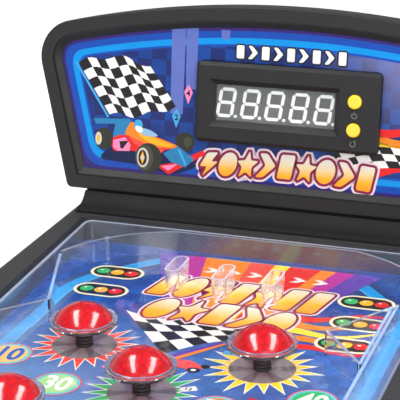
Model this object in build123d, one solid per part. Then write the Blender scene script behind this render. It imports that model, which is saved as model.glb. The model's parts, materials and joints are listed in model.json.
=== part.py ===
from build123d import *
import math
import os

# Tabletop pinball machine, mm and degrees.
# The playfield has its own frame: x to the right, v up the slope, n square to the playfield, n = 0 on the print.
# The head has its own frame too: x to the right, y into the head, z up its leaning front, z = 0 at its lower edge.

# ---- driving dimensions: cabinet ----
CABINET_WIDTH = 280.0
CABINET_LENGTH = 532.0
CABINET_CORNER = 14.0
WALL = 2.4                      # moulded wall of the cabinet and the head
FOOT_HEIGHT = 4.0
TILT = 5.0                      # slope of the playfield
PRINT_HEIGHT = 44.0             # height of the print at the front edge of the opening, above the table
FRONT_RAIL = 27.0               # length of the front rail
RAIL_TOP = 17.0                 # rails stand this far above the print
OPENING_HALF = 120.0            # half width of the opening, front part
OPENING_HALF_REAR = 126.0       # and at its rear edge
OPENING_LENGTH = 442.6
TAPER_START = 280.0             # the opening widens from here to the rear
BOARD = 3.0                     # playfield board
SHEET = 0.5                     # printed sheet on the board

# ---- driving dimensions: playfield ----
GUIDE_HEIGHT = 14.5             # clear walls
GUIDE = 1.8                     # their thickness
BALL_R = 6.0
LANE_X = 102.0                  # middle of the shooter-lane wall
LANE_TOP = 359.3
LANE_BOTTOM = 58.0
BUMPERS = [(-60.0, 283.0), (44.0, 283.0), (-8.0, 236.0), (-60.0, 184.0), (44.0, 184.0)]
RIM_R = 19.0                    # clear rim of a bumper
DOME_R = 16.35
DOME_HEIGHT = 9.0
RIM_LOW = 13.5
RIM_HIGH = 16.5
STEM_R = 5.0
STEM_TOP = 8.0
ROCK_HEIGHT = 4.0               # a bumper rocks about this height
POSTS = [(-40.0, 383.0), (-8.5, 378.0), (22.5, 378.0)]
POST_LENGTH = 27.0
POST_WIDTH = 9.5

# ---- driving dimensions: flippers and plunger ----
FLIPPER_MIDDLE = -8.0
FLIPPER_SPREAD = 46.0
FLIPPER_V = 86.0
FLIPPER_LENGTH = 42.0
FLIPPER_REST = -30.0            # angle of the bat at rest
FLIPPER_SWING = 50.0
FLIPPER_LOW = 1.0
FLIPPER_HIGH = 12.5
SHAFT_R = 3.0
RUNNING = 0.06                  # radial clearance of a running fit
FREE = 0.4                      # clearance of a loose fit
CRANK = 7.0                     # crank arm
CRANK_N = -14.0                 # level of the cranks
CRANK_PIN_R = 1.5
BUTTON_R = 9.0
PLUNGER_X = 110.5
PLUNGER_N = 6.5
PLUNGER_TIP = 32.0
PLUNGER_TRAVEL = 20.0
COLLAR_V = 25.0                 # rear face of the rod's collar, where the spring pushes
ROD_R = 2.5
KNOB_R = 9.0

# ---- driving dimensions: head ----
HEAD_V = 459.4                  # where the head's front plane meets the print
HEAD_LEAN = 7.45                # lean from the playfield's normal
HEAD_LIFT = 28.2                # lower edge of the head, along its front plane
NECK_HALF = 133.5
HEAD_DEPTH = 22.0               # front frame
REAR_DEPTH = 12.0               # rear shell
HEAD_BOTTOM_HALF = 146.8
HEAD_CORNER = (172.6, 105.8)    # where side and top would meet without a round
HEAD_TOP = 128.5
HEAD_ROUND = 25.0
HEAD_FACE = 8.8                 # flat face of the frame
HEAD_BEVEL = 4.8                # bevel inside the face
BEVEL_DEPTH = 4.2
PANEL_DEPTH = 4.8               # front of the art panel, behind the head's front plane
PANEL = 2.0
BEZEL_X = 3.5
BEZEL = (121.2, 52.0)
BEZEL_LOW = 39.7
BEZEL_CORNER = 3.0
BEZEL_FRONT = PANEL_DEPTH - 7.0
BEZEL_BACK = PANEL_DEPTH + 8.0
WINDOW = (86.5, 30.8)
WINDOW_INSET = (9.1, 10.8)      # from the bezel's left and top edges
WINDOW_BEVEL = 3.5
DIGIT_HEIGHT = 19.4
DIGIT_WIDTH = 11.5
DIGIT_PITCH = 16.2
DIGIT_SLANT = 9.0
SEGMENT = 2.1
LENS_DEPTH = 4.6                # lens behind the bezel's front
LENS = 1.0
BLOCK_DEPTH = 6.4               # black digit block behind the bezel's front
SEGMENT_PROUD = 0.4
BOARD_DEPTH = 14.0              # display board behind the head's front plane
SWITCH = 3.4                    # height of the small switch behind a key
KEY_R = 4.5
KEY_FLANGE_R = 5.6
KEY_TRAVEL = 0.8
KEY_ACROSS = 105.5              # keys from the bezel's left edge
KEYS_DOWN = {"power_button": 18.5, "reset_button": 36.5}

# ---- driving dimensions: fittings ----
DOOR = (76.0, 64.0)             # battery door
DOOR_AT = (0.0, 20.0)
DOOR_GAP = 0.4
CELL_R = 7.1                    # round cells
CELL_LENGTH = 49.0
CELL_PITCH = 15.2
CELL_Z = FOOT_HEIGHT + WALL + CELL_R + 0.6
SCREW_R = 1.5
SCREW_HEAD_R = 3.0
SCREW_HEAD = 2.0
BOSS_R = 4.5                    # screw bosses of the tub and the head
CABINET_SCREWS = [(x, y) for x in (-118, 118) for y in (-240, 0, 240)]
HEAD_SCREWS = [(x, z) for x in (-135, 135) for z in (14, 88)]
FEET = [(x, y) for x in (-105, 105) for y in (-225, 225)]
FOOT_R = 11.0
SPEAKER_Y = 120.0
BUTTON_HOLE_R = BUTTON_R + FREE
BUTTON_PROUD = 7.0
BAR = (8.0, 3.2)                # section of a button's drive bar
BUSH_R = 4.5
BUSH_FLANGE_R = 6.4
ARCH_REAR = 436.4               # rear run of the arch guide
ARCH_POST = (-97.4, 412.4)      # middle of the post on its left bend, and of its mirror image
SIDES = (-1, 1)                 # left, right

# ---- frames ----
FRONT_Y = -CABINET_LENGTH / 2
SLOPE_Y = FRONT_Y + FRONT_RAIL + RAIL_TOP * math.sin(math.radians(TILT))
PLAY = Pos(0, SLOPE_Y, PRINT_HEIGHT) * Rot(TILT, 0, 0)
HEAD = PLAY * Pos(0, HEAD_V, 0) * Rot(-HEAD_LEAN, 0, 0) * Pos(0, 0, HEAD_LIFT)
FAR = 600.0                     # larger than the machine, for cutting tools

placed = {}


def keep(name, shape):
    """Put a finished piece, already in the machine's frame, on the list of pieces."""
    placed[name] = shape


def plate(sketch, low, high):
    """A flat piece in the playfield's frame, between two levels."""
    return Pos(0, 0, low) * extrude(sketch, amount=high - low)


def head_plate(sketch, front, back):
    """A flat piece in the head's frame, from depth front to depth back."""
    return Rot(90, 0, 0) * Pos(0, 0, -back) * extrude(sketch, amount=back - front)


def ribbon(path, thickness):
    """The plan of a thin wall that follows an open path."""
    outline = Wire(path.edges()).offset_2d(thickness / 2, kind=Kind.ARC, side=Side.BOTH, closed=True)
    return make_face(outline)


def along_v(radius, start, end, x=PLUNGER_X, n=PLUNGER_N):
    """A round bar along v in the playfield's frame."""
    return Pos(x, start, n) * Rot(-90, 0, 0) * Cylinder(
        radius, end - start, align=(Align.CENTER, Align.CENTER, Align.MIN))


def along_x(radius, start, end, v, n):
    """A round bar along x in the playfield's frame."""
    low, high = min(start, end), max(start, end)
    return Pos(low, v, n) * Rot(0, 90, 0) * Cylinder(
        radius, high - low, align=(Align.CENTER, Align.CENTER, Align.MIN))


def upright(radius, low, high, at=(0, 0)):
    """A round bar square to the playfield."""
    return Pos(at[0], at[1], low) * Cylinder(radius, high - low, align=(Align.CENTER, Align.CENTER, Align.MIN))


def coil(radius, wire, pitch, length):
    """A compression spring along +Z."""
    helix = Helix(pitch=pitch, height=length, radius=radius)
    return sweep(Plane(helix @ 0, z_dir=helix % 0) * Circle(wire / 2), path=helix, is_frenet=True)


def flipper_pivot(side):
    """Where the shaft of the left (-1) or right (+1) flipper stands."""
    return FLIPPER_MIDDLE + side * FLIPPER_SPREAD, FLIPPER_V


# ---- cabinet ----
def opening(grow=0.0):
    """Plan of the playfield opening in the top frame."""
    rear = OPENING_LENGTH + grow
    front_half = OPENING_HALF + grow
    rear_half = OPENING_HALF_REAR + grow
    corners = [(-front_half, -grow), (front_half, -grow), (front_half, TAPER_START),
               (rear_half, rear), (-rear_half, rear), (-front_half, TAPER_START)]
    plan = make_face(Polyline(*corners, close=True))
    return fillet([c for c in plan.vertices() if not math.isclose(c.Y, TAPER_START)], 6)


def half_space(level, side):
    """Everything above (Align.MIN) or below (Align.MAX) a level parallel to the print."""
    return PLAY * Pos(0, 0, level) * Box(2 * FAR, 2 * FAR, FAR, align=(Align.CENTER, Align.CENTER, side))


def cabinet_block(inset, low, top):
    """The cabinet's plan, drawn in by inset, from the height low up to the level top above the print."""
    plan = RectangleRounded(CABINET_WIDTH - 2 * inset, CABINET_LENGTH - 2 * inset, CABINET_CORNER - inset)
    return Pos(0, 0, low) * extrude(plan, amount=FAR / 2) - half_space(top, Align.MIN)


def boss_top(y):
    """Height of the underside of the board at y."""
    return PRINT_HEIGHT + (y - SLOPE_Y) * math.tan(math.radians(TILT)) - BOARD - SHEET - 1.0


def cabinet_shell():
    tub = cabinet_block(0, FOOT_HEIGHT, 0)
    tub = fillet(tub.faces().sort_by(Axis.Z)[0].edges(), 2.5)
    tub -= cabinet_block(WALL, FOOT_HEIGHT + WALL, FAR / 4)
    for x, y in CABINET_SCREWS:
        boss = Pos(x, y, FOOT_HEIGHT) * Cylinder(
            BOSS_R, boss_top(y) - FOOT_HEIGHT, align=(Align.CENTER, Align.CENTER, Align.MIN))
        tub += boss
        tub -= Pos(x, y, 0) * Cylinder(SCREW_R + 0.2, FAR, align=(Align.CENTER, Align.CENTER, Align.MIN))
        tub -= Pos(x, y, 0) * Cylinder(
            SCREW_HEAD_R + 0.3, FOOT_HEIGHT + SCREW_HEAD, align=(Align.CENTER, Align.CENTER, Align.MIN))
    door_at = Pos(*DOOR_AT, FOOT_HEIGHT)
    tub -= door_at * Box(DOOR[0], DOOR[1], 4 * WALL)
    for side in SIDES:
        tub -= PLAY * along_x(BUTTON_HOLE_R, side * 100, side * 160, FLIPPER_V - CRANK, CRANK_N)
    for side in SIDES:
        tub += spring_stop(side)
    for x in range(-24, 25, 8):
        tub -= Pos(x, SPEAKER_Y, FOOT_HEIGHT) * Box(3, 34 - abs(x) / 2, 4 * WALL)
    return tub


def top_frame():
    slab = cabinet_block(0, 0, RAIL_TOP) - half_space(0, Align.MAX)
    slab = fillet(slab.edges().filter_by(lambda e: e.center().Z > slab_mid(e.center().Y)), 4.5)
    slab -= PLAY * plate(opening(), -1, RAIL_TOP + 1)
    hollow = cabinet_block(WALL, 0, RAIL_TOP - WALL) - half_space(-1, Align.MAX)
    hollow -= PLAY * plate(opening(WALL), -5, RAIL_TOP + 1)
    slab -= hollow
    slab += PLAY * plate(Pos(PLUNGER_X, -FRONT_RAIL / 2) * Rectangle(14, FRONT_RAIL - 2), 0, RAIL_TOP - 1)
    slab -= PLAY * along_v(BUSH_FLANGE_R + 0.1, -FRONT_RAIL - 10, -FRONT_RAIL + 0.2)
    return slab - PLAY * along_v(BUSH_R, -FRONT_RAIL - 10, 10)


def slab_mid(y):
    """Half-way level between the print and the rail top at y, to tell upper edges from lower ones."""
    return PRINT_HEIGHT + (y - SLOPE_Y) * math.tan(math.radians(TILT)) + RAIL_TOP * 0.75


def backbox_neck():
    """Block with a hollowed front that carries the head."""
    lip_v, head_v, rear_v = OPENING_LENGTH + 3, HEAD_V + 3.4, HEAD_V + 34
    top = HEAD_LIFT + 1
    profile = make_face([
        Line((lip_v, RAIL_TOP), (lip_v, RAIL_TOP + 1.5)),
        Line((lip_v, RAIL_TOP + 1.5), (lip_v + 4, RAIL_TOP + 2.5)),
        ThreePointArc((lip_v + 4, RAIL_TOP + 2.5), (head_v - 5.5, RAIL_TOP + 4.6), (head_v, top - 2)),
        Line((head_v, top - 2), (head_v, top)),
        Line((head_v, top), (rear_v, top)),
        Line((rear_v, top), (rear_v, RAIL_TOP)),
        Line((rear_v, RAIL_TOP), (lip_v, RAIL_TOP))])
    block = PLAY * extrude(Plane.YZ * profile, amount=NECK_HALF, both=True)
    block -= HEAD * Box(FAR, FAR, 60, align=(Align.CENTER, Align.CENTER, Align.MIN))
    return block - HEAD * Pos(0, 3, -1.3) * Box(FAR, FAR, 60, align=(Align.CENTER, Align.MAX, Align.MIN))


def playfield_holes():
    """Holes through the board and the sheet for the flipper shafts and the bumper stems."""
    holes = [Pos(*flipper_pivot(side)) * Circle(SHAFT_R + RUNNING) for side in SIDES]
    holes += [Pos(*centre) * Circle(STEM_R - 2.0) for centre in BUMPERS]
    return holes


def playfield_plan(inset):
    """Plan of the board: it lies under the rails, inside the tub's walls."""
    rear = OPENING_LENGTH + 30
    return Pos(0, (rear - 16) / 2) * Rectangle(CABINET_WIDTH - 2 * inset, rear + 16)


def playfield_board():
    plan = playfield_plan(WALL + 0.5)
    for hole in playfield_holes():
        plan -= hole
    return PLAY * plate(plan, -BOARD - SHEET, -SHEET)


def playfield_sheet():
    plan = playfield_plan(WALL + 0.5)
    for hole in playfield_holes():
        plan -= hole
    return PLAY * plate(plan, -SHEET, 0)


def battery_door():
    door = Pos(*DOOR_AT, FOOT_HEIGHT) * Box(
        DOOR[0] - 2 * DOOR_GAP, DOOR[1] - 2 * DOOR_GAP, WALL, align=(Align.CENTER, Align.CENTER, Align.MIN))
    door = fillet(door.edges().filter_by(Axis.Z), 2)
    grip = Pos(DOOR_AT[0], DOOR_AT[1] - DOOR[1] / 2 + 10, FOOT_HEIGHT) * Box(26, 1.6, 1.6)
    return door - grip - Pos(0, 3.2, 0) * grip - Pos(0, 6.4, 0) * grip


def battery_cells():
    """Three round cells side by side, each with its button end."""
    cells = []
    for i in (-1, 0, 1):
        body = Rot(90, 0, 0) * Cylinder(CELL_R, CELL_LENGTH) + Pos(0, CELL_LENGTH / 2, 0) * (
            Rot(90, 0, 0) * Cylinder(2.7, 2.4))
        turned = body if i % 2 == 0 else Rot(0, 0, 180) * body
        cells.append(Pos(DOOR_AT[0] + i * CELL_PITCH, DOOR_AT[1], CELL_Z) * turned)
    return Compound(cells)


def battery_contacts():
    """A spring plate at each end of the cells."""
    reach = CELL_LENGTH / 2 + 1.9
    return Compound([
        Pos(DOOR_AT[0], DOOR_AT[1] + side * reach, CELL_Z) * Box(3 * CELL_PITCH - 2, 0.6, 11) for side in SIDES])


def rubber_feet():
    feet = []
    for x, y in FEET:
        foot = Pos(x, y, 0) * Cylinder(FOOT_R, FOOT_HEIGHT, align=(Align.CENTER, Align.CENTER, Align.MIN))
        feet.append(chamfer(foot.faces().sort_by(Axis.Z)[0].edges(), 1.0))
    return Compound(feet)


def screw(length, head_r=SCREW_HEAD_R, shank_r=SCREW_R):
    """A pan-head screw with a cross recess, head down, shank up from z = 0."""
    head = Cylinder(head_r, SCREW_HEAD, align=(Align.CENTER, Align.CENTER, Align.MAX))
    head = fillet(head.faces().sort_by(Axis.Z)[0].edges(), 0.8)
    shank = Cylinder(shank_r, length, align=(Align.CENTER, Align.CENTER, Align.MIN))
    recess = Pos(0, 0, -SCREW_HEAD) * (Box(3.2, 0.7, 1.6) + Box(0.7, 3.2, 1.6))
    return head + shank - recess


def cabinet_screws():
    return Compound([Pos(x, y, FOOT_HEIGHT + SCREW_HEAD) * screw(14) for x, y in CABINET_SCREWS])


# ---- clear walls on the playfield ----
def perimeter_wall():
    """Clear wall round the sides and the rear of the playfield, with a small rim outwards."""
    left, right, rear, front = -116.4, 118.2, 439.8, 8.0

    def path(out):
        return FilletPolyline((left - out, front), (left - out, TAPER_START), (-122.2 - out, rear + out),
                              (122.2 + out, rear + out), (right + out, TAPER_START), (right + out, front), radius=5)
    wall = plate(ribbon(path(0), 1.5), 0, GUIDE_HEIGHT)
    rim = plate(ribbon(path(0.6), 1.5), GUIDE_HEIGHT - 1.2, GUIDE_HEIGHT)
    return PLAY * (wall + rim)


def arch_guide():
    """Clear guide that turns the ball round both upper corners."""
    left = ThreePointArc((-116.0, 381.5), (-91.7, 418.0), (-58.0, ARCH_REAR))
    middle = Line((-58.0, ARCH_REAR), (58.0, ARCH_REAR))
    right = ThreePointArc((58.0, ARCH_REAR), (91.7, 418.0), (116.0, 383.0))
    guide = plate(ribbon(Wire([left, middle, right]), GUIDE), 0, GUIDE_HEIGHT)
    for side in SIDES:
        guide += upright(2.2, 0, GUIDE_HEIGHT, (-side * ARCH_POST[0], ARCH_POST[1]))
    return PLAY * guide


def left_deflector():
    path = Polyline((-115.0, 377.0), (-92.0, 307.0), (-112.0, 283.5), (-114.4, 268.0))
    return PLAY * plate(ribbon(path, GUIDE), 0, GUIDE_HEIGHT)


def right_deflector():
    """Clear hollow triangle against the lane wall, with round corner posts."""
    corners = [(99.4, 355.0), (72.5, 311.0), (99.4, 275.0)]
    outer = make_face(Polyline(*corners, close=True))
    ring = offset(outer, GUIDE / 2) - offset(outer, -GUIDE / 2)
    return PLAY * plate(ring, 0, GUIDE_HEIGHT)


def lane_wall():
    return PLAY * plate(
        Pos(LANE_X, (LANE_TOP + LANE_BOTTOM) / 2) * SlotOverall(LANE_TOP - LANE_BOTTOM, GUIDE, rotation=90),
        0, GUIDE_HEIGHT)


def lane_posts():
    """Three clear oval tubes, a little narrower at the foot."""
    posts = []
    for centre in POSTS:
        outer = extrude(SlotOverall(POST_LENGTH - 1.6, POST_WIDTH - 1.6, rotation=90), amount=GUIDE_HEIGHT, taper=-3)
        inner = Pos(0, 0, 2.0) * extrude(
            SlotOverall(POST_LENGTH - 3.8, POST_WIDTH - 3.8, rotation=90), amount=GUIDE_HEIGHT, taper=-3)
        posts.append(Pos(*centre, 0) * (outer - inner))
    return PLAY * Compound(posts)


def inlane_guides():
    """Two guides that lead the ball down to the flippers."""
    guides = []
    for side in SIDES:
        x, v = flipper_pivot(side)
        path = Polyline((x + side * 32, v + 72), (x + side * 32, v + 40), (x + side * 7.5, v + 13))
        guides.append(plate(ribbon(path, 3.0), 0, FLIPPER_HIGH))
    return PLAY * Compound(guides)


def slingshots():
    """A hollow triangle above each flipper."""
    rings = []
    for side in SIDES:
        x, v = flipper_pivot(side)
        corners = [(x + side * 17, v + 70), (x + side * 17, v + 44), (x - side * 2, v + 30)]
        body = make_face(Polyline(*corners, close=True))
        rings.append(plate(offset(body, 2.0) - offset(body, -1.5), 0, FLIPPER_HIGH))
    return PLAY * Compound(rings)


def apron():
    """Slanted block that rolls a drained ball back to the shooter lane."""
    left, right = -115.4, 98.0
    plan = make_face(Polyline((left, 1), (left, 64), (right, 33), (right, 1), close=True))
    body = plate(fillet(plan.vertices(), 1.5), 0, GUIDE_HEIGHT)
    return PLAY * fillet(body.faces().sort_by(Axis.Z)[-1].edges(), 1.0)


# ---- bumpers ----
def bumper_stem():
    """Ribbed rubber spring: a hollow stack of round ribs."""
    ribs = 4
    pitch = STEM_TOP / ribs
    body = upright(STEM_R - 0.9, 0, STEM_TOP)
    for i in range(ribs):
        body += Pos(0, 0, (i + 0.5) * pitch) * Torus(STEM_R - 0.9, 0.9)
    return body - upright(STEM_R - 2.0, -1, STEM_TOP + 1)


def revolved(points):
    """A turned piece from its half profile in (radius, height)."""
    return revolve(Plane.XZ * make_face(Polyline(*points, close=True)), Axis.Z)


def bumper_dish():
    """Clear cone with a double rim, and a pin that stands loosely in the stem."""
    cone = revolved([(0, STEM_TOP + 0.5), (8.5, STEM_TOP + 0.5), (17.5, RIM_LOW - 0.6), (RIM_R, RIM_LOW),
                     (RIM_R, RIM_LOW + 1.1), (RIM_R - 0.7, RIM_LOW + 1.5), (RIM_R, RIM_LOW + 1.9),
                     (RIM_R, RIM_HIGH), (DOME_R + 0.4, RIM_HIGH), (DOME_R + 0.4, RIM_LOW + 1.3),
                     (8.5, STEM_TOP + 2.1), (0, STEM_TOP + 2.1)])
    return cone + upright(1.8, -BOARD - SHEET - 6, STEM_TOP + 1)


def bumper_dome():
    """Translucent cap: a thin dome that stands in the rim."""
    base = RIM_LOW + 1.3
    apex = RIM_HIGH + DOME_HEIGHT
    rise = apex - base - 1.5
    radius = (DOME_R ** 2 + rise ** 2) / (2 * rise)
    thick = 1.4

    def cap(shrink):
        ball = Pos(0, 0, apex - radius) * Sphere(radius - shrink)
        skirt = upright(DOME_R - shrink, base - (1 if shrink else 0), apex + 1)
        return ball & skirt
    return cap(0) - cap(thick)


# ---- flippers ----
def flipper(side):
    """Bat with its shaft; drawn pointing along +x, then turned to its rest angle and mirrored for the left."""
    root, tip = Circle(7.0), Pos(FLIPPER_LENGTH - 4, 0) * Circle(4.0)
    bat = plate(make_hull((root.edges() + tip.edges())), FLIPPER_LOW, FLIPPER_HIGH)
    bat = fillet(bat.faces().sort_by(Axis.Z)[-1].edges(), 1.2)
    bat += upright(SHAFT_R, CRANK_N + 2.4, FLIPPER_LOW + 0.5)
    angle = FLIPPER_REST if side < 0 else 180 - FLIPPER_REST
    return PLAY * Pos(*flipper_pivot(side), 0) * Rot(0, 0, angle) * bat


def crank_pin(side):
    """Centre of the crank pin at rest, in x and v."""
    angle = math.radians(-90 - FLIPPER_SWING / 2 if side < 0 else -90 + FLIPPER_SWING / 2)
    x, v = flipper_pivot(side)
    return x + CRANK * math.cos(angle), v + CRANK * math.sin(angle)


def flipper_crank(side):
    x, v = flipper_pivot(side)
    px, pv = crank_pin(side)
    plan = make_hull((Pos(x, v) * Circle(5.5)).edges() + (Pos(px, pv) * Circle(2.6)).edges())
    arm = plate(plan - Pos(x, v) * Circle(SHAFT_R), CRANK_N + 2.4, CRANK_N + 5.4)
    return PLAY * (arm + upright(CRANK_PIN_R, CRANK_N - 1.6, CRANK_N + 3, (px, pv)))


def flipper_button(side):
    """Side button with the flat bar that drives the crank pin."""
    edge = side * CABINET_WIDTH / 2
    pv = FLIPPER_V - CRANK
    cap = along_x(BUTTON_R, edge - side * 5, edge + side * BUTTON_PROUD, pv, CRANK_N)
    cap = fillet(cap.faces().sort_by(Axis.X)[0 if side < 0 else -1].edges(), 2.0)
    px, _ = crank_pin(side)
    bar_end = px - side * 4.0
    middle = (edge - side * 5 + bar_end) / 2
    bar = Pos(middle, pv, CRANK_N) * Box(abs(edge - side * 5 - bar_end), *BAR)
    slot = Pos(px, pv, CRANK_N) * Box(2 * (CRANK_PIN_R + 0.35), 2 * (CRANK_PIN_R + 1.3), 10)
    return PLAY * (cap + bar - slot)


def button_spring(side):
    """Spring behind a side button, round its bar."""
    start = side * (CABINET_WIDTH / 2 - 5.5)
    turn = Rot(0, 90, 0) if side < 0 else Rot(0, -90, 0)
    return PLAY * Pos(start, FLIPPER_V - CRANK, CRANK_N) * turn * coil(6.6, 0.7, 2.4, 16.0)


def spring_stop(side):
    """Forked rib of the tub that holds the inner end of a spring and guides the bar."""
    x = side * (CABINET_WIDTH / 2 - 24)
    rib = Pos(x, FLIPPER_V - CRANK, CRANK_N + 8) * Box(1.8, 24, 60, align=(Align.CENTER, Align.CENTER, Align.MAX))
    rib -= Pos(x, FLIPPER_V - CRANK, CRANK_N) * Box(4, BAR[0] + 2 * FREE, BAR[1] + 2 * FREE)
    below_floor = Box(FAR, 2 * FAR, FAR, align=(Align.CENTER, Align.CENTER, Align.MAX))
    return PLAY * rib - Pos(0, 0, FOOT_HEIGHT + WALL / 2) * below_floor


# ---- plunger and ball ----
def plunger_rod():
    rod = along_v(ROD_R, -FRONT_RAIL - 12, PLUNGER_TIP)
    collar = along_v(4.6, COLLAR_V, COLLAR_V + 3)
    return PLAY * chamfer((rod + collar).faces().sort_by(Axis.Y)[-1].edges(), 0.6)


def plunger_knob():
    knob = along_v(KNOB_R, -FRONT_RAIL - 24, -FRONT_RAIL - 10)
    knob = fillet(knob.edges(), 3.0) + along_v(4.6, -FRONT_RAIL - 11, -FRONT_RAIL - 5)
    return PLAY * (knob - along_v(ROD_R, -FRONT_RAIL - 12, PLUNGER_TIP))


def plunger_bush():
    bush = along_v(BUSH_R, -FRONT_RAIL - 0.5, 0) + along_v(BUSH_FLANGE_R, -FRONT_RAIL - 2.6, -FRONT_RAIL + 0.2)
    return PLAY * (bush - along_v(ROD_R + RUNNING, -FRONT_RAIL - 5, 5))


def plunger_spring():
    """Spring between the bush and the rod's collar."""
    return PLAY * Pos(PLUNGER_X, 0.4, PLUNGER_N) * Rot(-90, 0, 0) * coil(3.6, 0.6, 2.4, COLLAR_V - 0.8)


def steel_ball():
    return PLAY * Pos(PLUNGER_X, PLUNGER_TIP + BALL_R + 0.1, BALL_R + 0.05) * Sphere(BALL_R)


# ---- electronics in the cabinet ----
def main_board():
    base = Pos(-72, 120, FOOT_HEIGHT + WALL + 5) * Box(80, 60, 1.6)
    chips = [Pos(-72 + x, 120 + y, FOOT_HEIGHT + WALL + 7.3) * Box(w, d, 3.0)
             for x, y, w, d in ((-18, 8, 18, 12), (16, 10, 12, 12), (8, -16, 30, 7))]
    for chip in chips:
        base += chip
    for x in (-104, -40):
        for y in (95, 145):
            base += Pos(x, y, FOOT_HEIGHT + WALL) * Cylinder(2.5, 5, align=(Align.CENTER, Align.CENTER, Align.MIN))
    return base


def speaker():
    floor = FOOT_HEIGHT + WALL
    profile = [(0, floor + 3), (20, floor + 0.1), (28.5, floor + 0.1), (28.5, floor + 1.5), (22, floor + 1.5),
               (14, floor + 10), (14, floor + 16), (0, floor + 16)]
    return Pos(0, SPEAKER_Y, 0) * revolved(profile)


# ---- head ----
def head_outline(inset=0.0):
    """Front outline of the head, drawn in by inset."""
    cx, cz = HEAD_CORNER
    arc = ThreePointArc((-cx, cz), (0, HEAD_TOP), (cx, cz))
    outline = make_face([Line((-HEAD_BOTTOM_HALF, 0), (HEAD_BOTTOM_HALF, 0)), Line((HEAD_BOTTOM_HALF, 0), (cx, cz)),
                         arc, Line((-cx, cz), (-HEAD_BOTTOM_HALF, 0))])
    outline = fillet([p for p in outline.vertices() if p.Y > 1], HEAD_ROUND)
    outline = fillet([p for p in outline.vertices() if p.Y < 1], 4.0)
    return offset(outline, -inset, kind=Kind.INTERSECTION) if inset else outline


def bezel_plan(grow=0.0):
    middle = BEZEL_LOW + BEZEL[1] / 2
    return Pos(BEZEL_X, middle) * RectangleRounded(BEZEL[0] + 2 * grow, BEZEL[1] + 2 * grow, BEZEL_CORNER + grow)


def window_centre():
    left = BEZEL_X - BEZEL[0] / 2
    top = BEZEL_LOW + BEZEL[1]
    return left + WINDOW_INSET[0] + WINDOW[0] / 2, top - WINDOW_INSET[1] - WINDOW[1] / 2


def key_centre(name):
    return BEZEL_X - BEZEL[0] / 2 + KEY_ACROSS, BEZEL_LOW + BEZEL[1] - KEYS_DOWN[name]


def head_front():
    """Front frame: flat face, small step, bevel down to the art panel, hollow behind."""
    body = head_plate(head_outline(), 0, HEAD_DEPTH)
    body = fillet(body.faces().sort_by(Axis.Y)[0].edges(), 1.2)
    step = head_plate(head_outline(HEAD_FACE), -1, 1.4)
    wide = head_outline(HEAD_FACE + 1.0)
    narrow = head_outline(HEAD_FACE + HEAD_BEVEL)
    bevel = Rot(90, 0, 0) * loft([Pos(0, 0, -1.3) * wide.face(), Pos(0, 0, -BEVEL_DEPTH) * narrow.face()])
    through = head_plate(narrow, BEVEL_DEPTH - 0.5, HEAD_DEPTH + 1)
    inside = head_plate(head_outline(WALL), PANEL_DEPTH, HEAD_DEPTH + 1)
    body = body - step - bevel - through - inside
    for x, z in HEAD_SCREWS:
        boss = Pos(x, z) * Circle(BOSS_R) - Pos(x, z) * Circle(SCREW_R + 0.05)
        body += head_plate(boss, PANEL_DEPTH + PANEL, HEAD_DEPTH)
    return HEAD * body


def art_panel():
    """Printed panel behind the front frame, with a cut-out for the bezel."""
    plan = head_outline(WALL + 0.4) - bezel_plan(0.2)
    return HEAD * head_plate(plan, PANEL_DEPTH, PANEL_DEPTH + PANEL)


def display_bezel():
    """Raised bezel with a chamfered edge and a bevelled window, and holes for the two keys."""
    front, back = BEZEL_FRONT, BEZEL_BACK
    body = head_plate(bezel_plan(), front, back)
    body = chamfer(body.faces().sort_by(Axis.Y)[0].edges(), 2.2)
    wx, wz = window_centre()
    outer = Pos(wx, wz) * Rectangle(*WINDOW)
    inner = Pos(wx, wz) * Rectangle(WINDOW[0] - 2 * WINDOW_BEVEL, WINDOW[1] - 2 * WINDOW_BEVEL)
    funnel = Rot(90, 0, 0) * loft([Pos(0, 0, -front + 0.01) * outer.face(), Pos(0, 0, -front - 3.2) * inner.face()])
    body -= funnel
    body -= head_plate(inner, front + 3, back + 1)
    for name in KEYS_DOWN:
        body -= head_plate(Pos(*key_centre(name)) * Circle(KEY_R + FREE), front - 1, back + 1)
        body -= head_plate(Pos(*key_centre(name)) * Circle(KEY_FLANGE_R + FREE), front + 4, back + 1)
    pocket = Pos(wx, wz) * Rectangle(WINDOW[0] - 2, WINDOW[1] - 2)
    body -= head_plate(pocket, front + LENS_DEPTH - 0.1, back + 1)
    return HEAD * body


def display_window():
    """Clear lens in the bezel's pocket."""
    front = BEZEL_FRONT + LENS_DEPTH
    wx, wz = window_centre()
    plan = Pos(wx, wz) * Rectangle(WINDOW[0] - 2.4, WINDOW[1] - 2.4)
    return HEAD * head_plate(plan, front, front + LENS)


def segment(length):
    """One pointed bar of a digit, along x."""
    half, tip = length / 2, SEGMENT / 2
    return make_face(Polyline((-half, 0), (-half + tip, tip), (half - tip, tip), (half, 0),
                              (half - tip, -tip), (-half + tip, -tip), close=True))


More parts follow.
